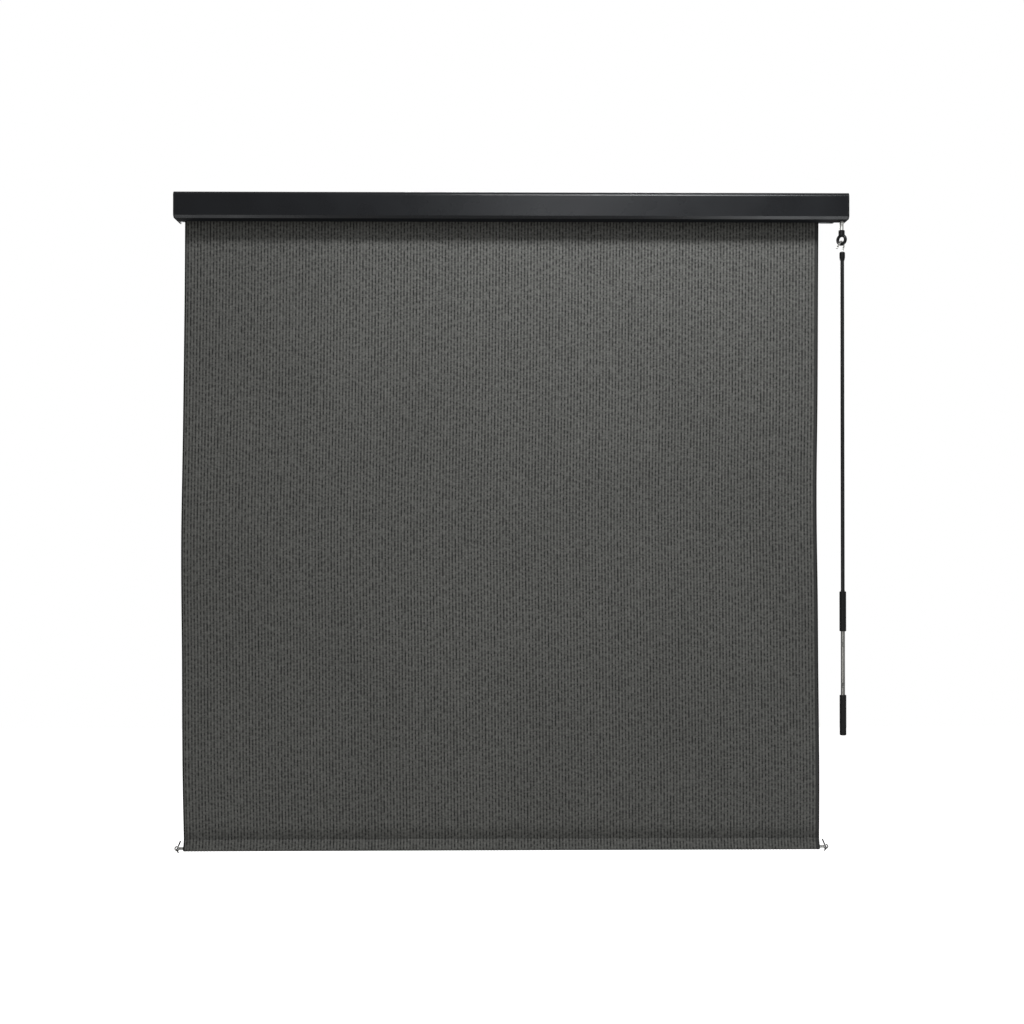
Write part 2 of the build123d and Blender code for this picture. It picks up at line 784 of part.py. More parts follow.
with BuildPart() as upper_grip:
    with BuildSketch(level(upper_grip_bottom_z, rod_x, rod_y)):
        Circle(grip_radius)
    extrude(amount=upper_grip_length)
    fillet(edges().filter_by(GeomType.CIRCLE), grip_rounding)
    with BuildSketch(level(upper_grip_bottom_z, rod_x, rod_y)):
        Circle(rod_radius + running_fit)
    extrude(amount=upper_grip_length, mode=Mode.SUBTRACT)
write(upper_grip, "upper_grip")

# Folding end of the crank: round bars with forks and tongues, pinned along Y
knuckle_reach = bar_radius + knuckle_clearance


def hinge_plane(z):
    """Plane square to a crank hinge's pin at height z."""
    return Plane(origin=(rod_x, rod_y, z), x_dir=(1, 0, 0), z_dir=(0, -1, 0))


def rounded_bar(high_z, low_z):
    """Round bar whose ends are rounded about the hinges at the two heights."""
    with BuildPart() as bar:
        with BuildSketch(level(low_z - bar_radius, rod_x, rod_y)):
            Circle(bar_radius)
        extrude(amount=high_z - low_z + 2 * bar_radius)
        with BuildSketch(hinge_plane((high_z + low_z) / 2)):
            SlotCenterToCenter(high_z - low_z, 2 * bar_radius, rotation=90)
        extrude(amount=bar_radius, both=True, mode=Mode.INTERSECT)
    return bar.part


def fork_cut(z, way):
    """Slot between a fork's cheeks, and the flats outside them, open in the way given."""
    slot = tongue_thickness + 2 * fork_slot_clearance
    with BuildPart() as cut:
        with Locations((rod_x, rod_y, z + way * knuckle_reach)):
            Box(2 * (bar_radius + overrun), slot, 4 * knuckle_reach)
        for side in (-1, 1):
            flat_y = rod_y + side * (knuckle_flat + bar_radius / 2)
            with Locations((rod_x, flat_y, z + way * bar_radius)):
                Box(2 * (bar_radius + overrun), bar_radius, 2 * (knuckle_reach + bar_radius))
        with Locations(hinge_plane(z)):
            Cylinder(hinge_pin_radius + fixed_fit, 2 * (bar_radius + overrun))
    return cut.part


def tongue_cut(z):
    """What is taken off a bar's end at height z to leave a tongue with its pin hole."""
    with BuildPart() as cut:
        for side in (-1, 1):
            with Locations((rod_x, rod_y + side * (tongue_thickness + bar_radius) / 2, z)):
                Box(2 * (bar_radius + overrun), bar_radius, 2 * knuckle_reach)
        with Locations(hinge_plane(z)):
            Cylinder(hinge_pin_radius + running_fit, tongue_thickness + 2 * overrun)
    return cut.part


with BuildPart() as rod_fork:
    add(rounded_bar(rod_bottom_z, upper_hinge_z))
    with BuildSketch(level(rod_bottom_z, rod_x, rod_y)):
        Circle(bar_radius + overrun)
    extrude(amount=bar_radius + overrun, mode=Mode.SUBTRACT)
    with BuildSketch(level(rod_bottom_z, rod_x, rod_y)):
        Circle(rod_radius - rod_wall - fixed_fit)
    extrude(amount=fork_seat)
    add(fork_cut(upper_hinge_z, -1), mode=Mode.SUBTRACT)
write(rod_fork, "rod_fork")

with BuildPart() as crank_arm:
    add(rounded_bar(upper_hinge_z, lower_hinge_z))
    for hinge_z in (upper_hinge_z, lower_hinge_z):
        add(tongue_cut(hinge_z), mode=Mode.SUBTRACT)
write(crank_arm, "crank_arm")

with BuildPart() as handle_spindle:
    add(rounded_bar(lower_hinge_z, spindle_shoulder_z))
    with BuildSketch(level(spindle_shoulder_z, rod_x, rod_y)):
        Circle(bar_radius + overrun)
    extrude(amount=-bar_radius - overrun, mode=Mode.SUBTRACT)
    with BuildSketch(level(spindle_shoulder_z, rod_x, rod_y)):
        Circle(spindle_radius)
    extrude(amount=spindle_bottom_z - spindle_shoulder_z)
    add(fork_cut(lower_hinge_z, 1), mode=Mode.SUBTRACT)
    with BuildSketch(level(spindle_bottom_z, rod_x, rod_y)):
        Circle(handle_screw_radius + fixed_fit)
    extrude(amount=handle_screw_length, mode=Mode.SUBTRACT)
write(handle_spindle, "handle_spindle")

for hinge_z, name in ((upper_hinge_z, "upper_hinge_pin"), (lower_hinge_z, "lower_hinge_pin")):
    with BuildPart() as hinge_pin:
        with Locations(hinge_plane(hinge_z)):
            Cylinder(hinge_pin_radius, 2 * knuckle_flat)
        for side in (-1, 1):
            with BuildSketch(facing(rod_x, rod_y + side * knuckle_flat, hinge_z, (0, side, 0))):
                Circle(hinge_head_radius)
            extrude(amount=hinge_head)
        fillet(
            edges().filter_by(GeomType.CIRCLE).group_by(Axis.Y)[0]
            + edges().filter_by(GeomType.CIRCLE).group_by(Axis.Y)[-1],
            hinge_head / 2,
        )
    write(hinge_pin, name)

with BuildPart() as lower_grip:
    with BuildSketch(level(lower_grip_bottom_z, rod_x, rod_y)):
        Circle(grip_radius)
    extrude(amount=lower_grip_length)
    fillet(edges().filter_by(GeomType.CIRCLE), grip_rounding)
    with BuildSketch(level(lower_grip_bottom_z, rod_x, rod_y)):
        Circle(spindle_radius + running_fit)
    extrude(amount=lower_grip_length, mode=Mode.SUBTRACT)
    with BuildSketch(level(lower_grip_bottom_z, rod_x, rod_y)):
        Circle(handle_head_radius + seat_gap)
    extrude(amount=spindle_end + seat_gap, mode=Mode.SUBTRACT)
write(lower_grip, "lower_grip")

with BuildPart() as handle_screw:
    with BuildSketch(level(spindle_bottom_z, rod_x, rod_y)):
        Circle(handle_head_radius)
    extrude(amount=-handle_head)
    with BuildSketch(level(spindle_bottom_z, rod_x, rod_y)):
        Circle(handle_screw_radius)
    extrude(amount=handle_screw_length - seat_gap)
write(handle_screw, "handle_screw")

# Knitted sheet: upright ribs on both faces of one thin wall
rib_count = round(fabric_width / rib_pitch)
rib_width = fabric_width / rib_count
rib_face = []
for rib in range(rib_count):
    rib_left = fabric_left_x + rib * rib_width
    crest_start = rib_left + rib_width * (1 - rib_crest_share) / 2
    rib_face.append((rib_left + rib_width * rib_foot_share, fabric_thickness / 2))
    rib_face.append((crest_start, sheet_half))
    rib_face.append((crest_start + rib_width * rib_crest_share, sheet_half))
    rib_face.append((rib_left + rib_width * (1 - rib_foot_share), fabric_thickness / 2))
sheet_outline = [(fabric_left_x, -fabric_thickness / 2)]
sheet_outline += [(x, -y) for x, y in rib_face]
sheet_outline += [(fabric_right_x, -fabric_thickness / 2), (fabric_right_x, fabric_thickness / 2)]
sheet_outline += rib_face[::-1]
sheet_outline += [(fabric_left_x, fabric_thickness / 2)]

with BuildPart() as fabric_drop:
    with BuildSketch(level(-drop_length, 0, sheet_y)):
        Polygon(*sheet_outline, align=None)
    extrude(amount=drop_length)
write(fabric_drop, "fabric_drop")

hem_rise = hem_height - hem_radius - fabric_thickness
hem_plane = Plane(origin=(fabric_left_x, sheet_y, rail_z), x_dir=(0, 1, 0), z_dir=(1, 0, 0))
with BuildPart() as fabric_hem:
    with BuildSketch(hem_plane):
        add(teardrop(hem_radius, fabric_thickness, hem_rise))
        add(teardrop(hem_radius - fabric_thickness, hem_crease, hem_rise), mode=Mode.SUBTRACT)
    extrude(amount=fabric_width)
write(fabric_hem, "fabric_hem")

# Rail: a tube in the hem, with a plug, an eye and a loose hook at each end
with BuildPart() as bottom_rail:
    with BuildSketch(hem_plane.offset(rail_inset)):
        Circle(rail_radius)
        Circle(rail_radius - rail_wall, mode=Mode.SUBTRACT)
    extrude(amount=fabric_width - 2 * rail_inset)
write(bottom_rail, "bottom_rail")

for side, end_x, word in (
    (-1, fabric_left_x + rail_inset, "left"),
    (1, fabric_right_x - rail_inset, "right"),
):
    end_plane = Plane(origin=(end_x, sheet_y, rail_z), x_dir=(0, 1, 0), z_dir=(side, 0, 0))
    with BuildPart() as rail_plug:
        with BuildSketch(end_plane):
            Circle(rail_plug_radius)
        extrude(amount=rail_plug_flange)
        with BuildSketch(end_plane):
            Circle(rail_radius - rail_wall - fixed_fit)
        extrude(amount=-rail_plug_depth)
        with BuildSketch(end_plane.offset(rail_plug_flange)):
            Circle(eye_stud_radius + fixed_fit)
        extrude(amount=-rail_plug_flange - eye_stud_length, mode=Mode.SUBTRACT)
    write(rail_plug, word + "_rail_plug")

    ring_x = rail_plug_flange + eye_shank_length + tie_ring_radius + tie_wire_radius - tie_ring_bite
    ring_place = end_plane.offset(ring_x).origin
    with BuildPart() as eye_bolt:
        with BuildSketch(end_plane.offset(rail_plug_flange)):
            Circle(eye_shank_radius)
        extrude(amount=eye_shank_length)
        fillet(edges().filter_by(GeomType.CIRCLE), tie_ring_bite / 2)
        with BuildSketch(end_plane.offset(rail_plug_flange)):
            Circle(eye_stud_radius)
        extrude(amount=-eye_stud_length + seat_gap)
        with Locations(facing(ring_place.X, ring_place.Y, ring_place.Z, (0, -1, 0))):
            Torus(tie_ring_radius, tie_wire_radius)
    write(eye_bolt, word + "_eye_bolt")

    hook_seat_z = ring_place.Z - tie_ring_radius + tie_wire_radius + tie_hook_radius + tie_hook_rest
    with BuildPart() as tie_hook:
        with BuildLine() as tie_line:
            FilletPolyline(
                (
                    ring_place.X - side * tie_hook_lean,
                    sheet_y + tie_hook_spread,
                    hook_seat_z + tie_hook_rise,
                ),
                (ring_place.X, sheet_y + tie_hook_spread, hook_seat_z),
                (ring_place.X, sheet_y - tie_hook_spread, hook_seat_z),
                (
                    ring_place.X - side * tie_hook_toe,
                    sheet_y - tie_hook_spread,
                    hook_seat_z - tie_hook_drop,
                ),
                radius=tie_hook_bend,
            )
        with BuildSketch(Plane(origin=tie_line.line @ 0, z_dir=tie_line.line % 0)):
            Circle(tie_hook_radius)
        sweep()
        with Locations(tie_line.line @ 0, tie_line.line @ 1):
            Sphere(tie_hook_radius)
    write(tie_hook, word + "_tie_hook")
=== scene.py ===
import json
import math
from collections import namedtuple

import bpy
import numpy as np
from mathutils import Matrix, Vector


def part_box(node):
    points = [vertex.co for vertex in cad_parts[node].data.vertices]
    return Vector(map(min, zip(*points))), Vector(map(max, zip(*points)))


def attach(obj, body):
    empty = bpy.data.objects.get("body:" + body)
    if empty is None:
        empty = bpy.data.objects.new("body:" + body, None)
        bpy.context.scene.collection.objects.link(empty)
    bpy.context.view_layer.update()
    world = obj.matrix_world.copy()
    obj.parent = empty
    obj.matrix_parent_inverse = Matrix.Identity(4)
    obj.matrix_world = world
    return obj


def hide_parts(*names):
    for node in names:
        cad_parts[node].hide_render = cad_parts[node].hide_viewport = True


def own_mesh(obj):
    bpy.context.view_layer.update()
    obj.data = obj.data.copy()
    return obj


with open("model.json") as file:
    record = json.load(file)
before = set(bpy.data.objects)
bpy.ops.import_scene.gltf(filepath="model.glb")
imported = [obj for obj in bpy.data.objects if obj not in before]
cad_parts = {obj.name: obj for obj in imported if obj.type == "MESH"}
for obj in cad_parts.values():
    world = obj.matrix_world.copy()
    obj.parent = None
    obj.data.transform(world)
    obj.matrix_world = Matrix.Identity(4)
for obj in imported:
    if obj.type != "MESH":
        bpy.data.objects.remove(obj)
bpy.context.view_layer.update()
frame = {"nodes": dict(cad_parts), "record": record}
nodes = frame["nodes"]

# Cloth sizes, in metres, from the imported cloth nodes
DROP_LOW, DROP_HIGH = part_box("fabric_drop")
LEFT_X = DROP_LOW.x
RIGHT_X = DROP_HIGH.x
SHEET_Y = (DROP_LOW.y + DROP_HIGH.y) / 2
HEM_LAP = 0.001
SHEET_BOTTOM_Z = DROP_LOW.z - HEM_LAP

# The knit's ribs, on both faces: each starts and ends in a groove. WALL_HALF is half the wall at a groove
RIB_COUNT = 200
RIB_PITCH = (RIGHT_X - LEFT_X) / RIB_COUNT
RIB_RISE = 0.00035
WALL_HALF = 0.00045
# One rib across: its place in the pitch, and the share of the rise that the yarn stands up there
RIB_PROFILE = ((0.0, 0.0), (0.2, 0.0), (0.33, 1.0), (0.67, 1.0), (0.8, 0.0))


def rib_columns():
    """Places across the cloth and the yarn's rise at each, from the left edge to the right."""
    across = []
    rise = []
    for rib in range(RIB_COUNT):
        for share, height in RIB_PROFILE:
            across.append(LEFT_X + (rib + share) * RIB_PITCH)
            rise.append(height * RIB_RISE)
    across.append(RIGHT_X)
    rise.append(0.0)
    return np.array(across), np.array(rise)


def new_object(name, points, faces, uv=None, smooth=True):
    """A mesh object in the row frame. uv gives a flat cloth place in metres for each point."""
    mesh = bpy.data.meshes.new(name)
    mesh.from_pydata(np.asarray(points).tolist(), [], faces)
    mesh.validate()
    if uv is not None:
        layer = mesh.uv_layers.new(name="flat_cloth")
        corner = np.zeros(len(mesh.loops), dtype=np.int32)
        mesh.loops.foreach_get("vertex_index", corner)
        layer.data.foreach_set("uv", np.asarray(uv, np.float32)[corner].ravel())
    if smooth:
        mesh.shade_smooth()
    made = bpy.data.objects.new(name, mesh)
    bpy.context.scene.collection.objects.link(made)
    return made


def grid_faces(rows, columns, wrap_rows=False, wrap_columns=False, first=0):
    """Four-sided faces of a grid of points that is stored row by row."""
    faces = []
    for r in range(rows if wrap_rows else rows - 1):
        below = (r + 1) % rows
        for c in range(columns if wrap_columns else columns - 1):
            side = (c + 1) % columns
            faces.append((first + r * columns + c, first + below * columns + c,
                          first + below * columns + side, first + r * columns + side))
    return faces


# How far each edge of the hung cloth wanders sideways, in mm, down its length from 0 to 1
WANDER_AT = (0.0, 0.13, 0.32, 0.42, 0.51, 0.61, 0.70, 0.80, 0.90, 1.0)
WANDER_LEFT = (2.5, 1.3, -3.0, -6.3, -9.8, -9.0, -6.0, -5.5, -4.5, 0.0)
WANDER_RIGHT = (1.5, -0.8, -3.2, -6.6, -6.4, -3.2, -2.6, -0.8, 1.5, 0.0)
MM_IN_M = 1000
EASING_PASSES = 3
SHEET_ROWS = 40
# Slack waves of the hung cloth: height and length in metres, drift in turns down the sheet, phase in radians
SLACK_WAVES = ((0.0016, 0.61, 0.35, 0.6), (0.0011, 0.37, -0.5, 2.1), (0.0012, 1.9, 1.6, 0.0))
SLACK_POWER = 1.6


def edge_wander(down, wander):
    """An edge's sideways places in metres, with the corners eased and the ends kept."""
    eased = np.interp(down, WANDER_AT, wander)
    for _ in range(EASING_PASSES):
        eased[1:-1] = (eased[:-2] + 2 * eased[1:-1] + eased[2:]) / 4
    return eased / MM_IN_M


def make_sheet():
    """The hanging knit: ribs on both faces, slack waves between the roller and the hem."""
    across, rise = rib_columns()
    down = np.linspace(0.0, 1.0, SHEET_ROWS)
    left = edge_wander(down, WANDER_LEFT)
    right = edge_wander(down, WANDER_RIGHT)
    share = (across - LEFT_X) / (RIGHT_X - LEFT_X)
    count = len(across)
    ring = 2 * count
    points = np.zeros((SHEET_ROWS, ring, 3))
    flat = np.zeros((SHEET_ROWS, ring, 2))
    for r, t in enumerate(down):
        x = across + left[r] * (1 - share) + right[r] * share
        slack = math.sin(math.pi * t) ** SLACK_POWER
        wave = sum(height * np.sin(2 * math.pi * (across / length + drift * t) + phase)
                   for height, length, drift, phase in SLACK_WAVES)
        y = SHEET_Y + slack * wave
        z = np.full(count, t * SHEET_BOTTOM_Z)
        front = np.stack([x, y - WALL_HALF - rise, z], axis=1)
        back = np.stack([x, y + WALL_HALF + rise, z], axis=1)
        points[r] = np.concatenate([front, back[::-1]])
        flat_row = np.stack([across, z], axis=1)
        flat[r] = np.concatenate([flat_row, flat_row[::-1]])
    faces = grid_faces(SHEET_ROWS, ring, wrap_columns=True)
    last = (SHEET_ROWS - 1) * ring
    for c in range(count - 1):
        faces.append((c, c + 1, ring - 2 - c, ring - 1 - c))
        faces.append((last + c + 1, last + c, last + ring - 1 - c, last + ring - 2 - c))
    return new_object("knit_sheet", points.reshape(-1, 3), faces, flat.reshape(-1, 2))


def ribbed_tube(name, outline, out, inner, cloth_place):
    """A tube of knit along x. outline and inner are its sections in (y, z), and the ribs rise from the
    outline along out. cloth_place says where each point of the section lies along the flat cloth."""
    across, rise = rib_columns()
    around = len(outline)
    count = len(across)
    points = []
    flat = []
    for k in range(around):
        for c in range(count):
            y, z = outline[k] + out[k] * rise[c]
            points.append((across[c], y, z))
            flat.append((across[c], cloth_place[k]))
    left_end = len(points)
    right_end = left_end + around
    for x in (LEFT_X, RIGHT_X):
        for k in range(around):
            points.append((x, inner[k][0], inner[k][1]))
            flat.append((x, cloth_place[k]))
    faces = grid_faces(around, count, wrap_rows=True)
    for k in range(around):
        n = (k + 1) % around
        faces.append((left_end + k, left_end + n, right_end + n, right_end + k))
        faces.append((k * count, left_end + k, left_end + n, n * count))
        faces.append((n * count + count - 1, right_end + n, right_end + k, k * count + count - 1))
    return new_object(name, points, faces, flat)


# The hem pocket's section: a round for the rail, and two straight sides that meet in a small round tip
HEM_LOW, HEM_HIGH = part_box("fabric_hem")
HEM_RADIUS = (HEM_HIGH.y - HEM_LOW.y) / 2
HEM_Y = (HEM_HIGH.y + HEM_LOW.y) / 2
HEM_CENTRE_Z = HEM_LOW.z + HEM_RADIUS
HEM_WALL = 0.0009
TIP_RADIUS = 0.0009
TIP_Z = HEM_HIGH.z - TIP_RADIUS
SMALLEST_RADIUS = 0.00005
HEM_REACH = TIP_Z - HEM_CENTRE_Z
HEM_LEAN = math.asin((HEM_RADIUS - TIP_RADIUS) / HEM_REACH)
TIP_STEPS = 4
SIDE_STEPS = 7
ROUND_STEPS = 19


def teardrop(inset):
    """Points and outward directions round the hem's section, in (y, z), from its tip."""
    big = HEM_RADIUS - inset
    small = max(TIP_RADIUS - inset, SMALLEST_RADIUS)
    top = math.pi / 2
    front = math.pi - HEM_LEAN
    back = 2 * math.pi + HEM_LEAN
    side = [(small + (big - small) * share, TIP_Z - HEM_REACH * share)
            for share in np.linspace(0, 1, SIDE_STEPS)[1:-1]]
    ring = [(small, TIP_Z, turn) for turn in np.linspace(top, front, TIP_STEPS)]
    ring += [(radius, z, front) for radius, z in side]
    ring += [(big, HEM_CENTRE_Z, turn) for turn in np.linspace(front, back, ROUND_STEPS)]
    ring += [(radius, z, back) for radius, z in reversed(side)]
    ring += [(small, TIP_Z, turn) for turn in np.linspace(back, top + 2 * math.pi, TIP_STEPS)[:-1]]
    place = np.array([(HEM_Y + r * math.cos(a), z + r * math.sin(a)) for r, z, a in ring])
    out = np.array([(math.cos(a), math.sin(a)) for _, _, a in ring])
    return place, out


def make_hem():
    """The pocket folded round the rail, with the knit's ribs on its outside."""
    outline, out = teardrop(RIB_RISE)
    inner, _ = teardrop(HEM_WALL)
    run = np.concatenate([[0], np.cumsum(np.linalg.norm(np.diff(outline, axis=0), axis=1))])
    return ribbed_tube("hem_pocket", outline, out, inner, HEM_HIGH.z - run)


# The hem's sewing. A stitch thins towards its ends and sinks into the cloth there
STITCH_PITCH = 0.006
STITCH_LENGTH = 0.0044
STITCH_RADIUS = 0.00034
STITCH_BELOW_TIP = 0.004
STITCH_SINK = 1.4 * STITCH_RADIUS
STITCH_TAPER = 4
STITCH_END_SHARE = 0.04
STITCH_SIDES = 6
STITCH_RINGS = 5


def make_stitching():
    """Two lines of lock stitches through the hem, front and back."""
    half = TIP_RADIUS / math.cos(HEM_LEAN) + (STITCH_BELOW_TIP - TIP_RADIUS) * math.tan(HEM_LEAN)
    z = HEM_HIGH.z - STITCH_BELOW_TIP
    points = []
    faces = []
    stitches = int((RIGHT_X - LEFT_X) / STITCH_PITCH)
    for face in (-1, 1):
        for k in range(stitches):
            middle = LEFT_X + (k + 0.5) * STITCH_PITCH
            first = len(points)
            for r in range(STITCH_RINGS):
                along = r / (STITCH_RINGS - 1) * 2 - 1
                radius = STITCH_RADIUS * math.sqrt(max(1 - along ** STITCH_TAPER, STITCH_END_SHARE))
                sink = STITCH_SINK * along ** 2
                for s in range(STITCH_SIDES):
                    turn = 2 * math.pi * s / STITCH_SIDES
                    points.append((middle + along * STITCH_LENGTH / 2,
                                   HEM_Y + face * (half - sink) + radius * math.cos(turn),
                                   z + radius * math.sin(turn)))
            last = first + (STITCH_RINGS - 1) * STITCH_SIDES
            faces += grid_faces(STITCH_RINGS, STITCH_SIDES, wrap_columns=True, first=first)
            faces.append(tuple(range(first, first + STITCH_SIDES)))
            faces.append(tuple(reversed(range(last, last + STITCH_SIDES))))
    return new_object("hem_stitching", points, faces)


ROLL_LOW, ROLL_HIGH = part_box("fabric_roll")
ROLL_RADIUS = (ROLL_HIGH.y - ROLL_LOW.y) / 2
ROLL_CENTRE = np.array([(ROLL_HIGH.y + ROLL_LOW.y) / 2, (ROLL_HIGH.z + ROLL_LOW.z) / 2])
ROLL_WALL = 0.0018
ROLL_SIDES = 36


def make_roll():
    """The turns left on the tube, ribbed as the hanging cloth is."""
    turns = [2 * math.pi * k / ROLL_SIDES for k in range(ROLL_SIDES)]
    out = np.array([(math.cos(turn), math.sin(turn)) for turn in turns])
    outline = ROLL_CENTRE + (ROLL_RADIUS - RIB_RISE) * out
    inner = ROLL_CENTRE + (ROLL_RADIUS - ROLL_WALL) * out
    return ribbed_tube("knit_roll", outline, out, inner, [turn * ROLL_RADIUS for turn in turns])


def emptied_tree(owner):
    """The node tree of a new material or world, with nothing in it."""
    owner.use_nodes = True
    owner.node_tree.nodes.clear()
    return owner.node_tree


# Places of the Mix node's colour sockets, which have the same names as its number sockets
MIX_COLOURS = (6, 7)
MIX_RESULT = 2


class Shade:
    """A material under construction: its nodes, with short calls for the ones used here."""

    def __init__(self, name):
        self.material = bpy.data.materials.new(name)
        self.tree = emptied_tree(self.material)
        output = self.tree.nodes.new("ShaderNodeOutputMaterial")
        self.shader = self.tree.nodes.new("ShaderNodeBsdfPrincipled")
        self.tree.links.new(self.shader.outputs["BSDF"], output.inputs["Surface"])

    def put(self, socket, value):
        if isinstance(value, bpy.types.NodeSocket):
            self.tree.links.new(value, socket)
        else:
            socket.default_value = value

    def surface(self, name, value):
        self.put(self.shader.inputs[name], value)

    def math(self, operation, *values, clamp=False):
        node = self.tree.nodes.new("ShaderNodeMath")
        node.operation = operation
        node.use_clamp = clamp
        for socket, value in zip(node.inputs, values):
            self.put(socket, value)
        return node.outputs[0]

    def place(self, scale, source="Object"):
        coordinates = self.tree.nodes.new("ShaderNodeTexCoord")
        mapping = self.tree.nodes.new("ShaderNodeMapping")
        mapping.inputs["Scale"].default_value = scale
        self.tree.links.new(coordinates.outputs[source], mapping.inputs["Vector"])
        return mapping.outputs["Vector"]

    def split(self, vector):
        node = self.tree.nodes.new("ShaderNodeSeparateXYZ")
        self.tree.links.new(vector, node.inputs[0])
        return node.outputs

    def join(self, x, y, z):
        node = self.tree.nodes.new("ShaderNodeCombineXYZ")
        for socket, value in zip(node.inputs, (x, y, z)):
            self.put(socket, value)
        return node.outputs[0]

    def noise(self, vector, detail):
        node = self.tree.nodes.new("ShaderNodeTexNoise")
        node.inputs["Scale"].default_value = 1.0
        node.inputs["Detail"].default_value = detail
        self.tree.links.new(vector, node.inputs["Vector"])
        return node.outputs["Fac"]

    def between(self, value, low, high, to_low, to_high):
        node = self.tree.nodes.new("ShaderNodeMapRange")
        for socket, number in zip(node.inputs, (value, low, high, to_low, to_high)):
            self.put(socket, number)
        return node.outputs[0]

    def ramp(self, value, *stops):
        node = self.tree.nodes.new("ShaderNodeValToRGB")
        for element, (place, colour) in zip(node.color_ramp.elements, stops):
            element.position = place
            element.color = (*colour, 1.0)
        self.put(node.inputs[0], value)
        return node.outputs[0]

    def tint(self, factor, colour_a, colour_b):
        node = self.tree.nodes.new("ShaderNodeMix")
        node.data_type = "RGBA"
        self.put(node.inputs["Factor"], factor)
        for place, value in zip(MIX_COLOURS, (colour_a, colour_b)):
            colour = value if isinstance(value, bpy.types.NodeSocket) else (*value, 1.0)
            self.put(node.inputs[place], colour)
        return node.outputs[MIX_RESULT]

    def bump(self, height, strength, distance):
        node = self.tree.nodes.new("ShaderNodeBump")
        node.inputs["Strength"].default_value = strength
        node.inputs["Distance"].default_value = distance
        self.tree.links.new(height, node.inputs["Height"])
        self.tree.links.new(node.outputs["Normal"], self.shader.inputs["Normal"])


# The knit's sizes in metres: one loop of yarn, the woven band at each edge, and the dark rim of both bands
LOOP_HEIGHT = 0.0034
LEFT_BAND = 0.0055
RIGHT_BAND = 0.0115
RIM = 0.0038
KNIT_DARK = (0.006, 0.006, 0.0058)
KNIT_PALE = (0.172, 0.172, 0.162)
WEFT_TONES = ((0.3, (0.016, 0.016, 0.016)), (0.7, (0.034, 0.034, 0.033)))
# How a pattern turns into a share or a tone: two of its values, and what each becomes
CREST_BAND = (0.15, 0.40, 1.0, 0.0)
LOOP_BAND = (0.08, 0.42, 0.0, 1.0)
DOT_BAND = (0.38, 0.60, 0.0, 1.0)
SLUB_BAND = (0.3, 0.7, 0.66, 1.34)
FLECK_BAND = (0.3, 0.7, 0.84, 1.16)
CLOUD_BAND = (0.3, 0.7, 0.95, 1.05)
YARN_TONE = (0.0, 1.0, 0.54, 0.42)
GROOVE_TONE = (0.0, 1.0, 0.36, 0.05)
YARN_ROUGHNESS = (0.0, 0.6, 0.88, 0.7)
LOOP_RELIEF = (0.0, 1.0, 1.0, 0.55)
FLECK_RELIEF = 0.25
CHEVRON_SLOPE = 2.2
KNIT_SPECULAR = 0.12
# Strength, and depth in metres
KNIT_BUMP = (0.5, 0.0005)
# Noise steps for each metre across and down, the step from one rib to the next, and seeds that keep
# the noises apart
DOTS_DOWN = 105.0
SLUBS_DOWN = 150.0
FLECKS = (420.0, 330.0)
CLOUDS = (3.0, 2.0)
RIB_STEP = 7.31
DOT_SEED = 0.0
SLUB_SEED = 9.0
FLECK_SEED = 0.0
CLOUD_SEED = 4.0
KNIT_DETAIL = 2.0


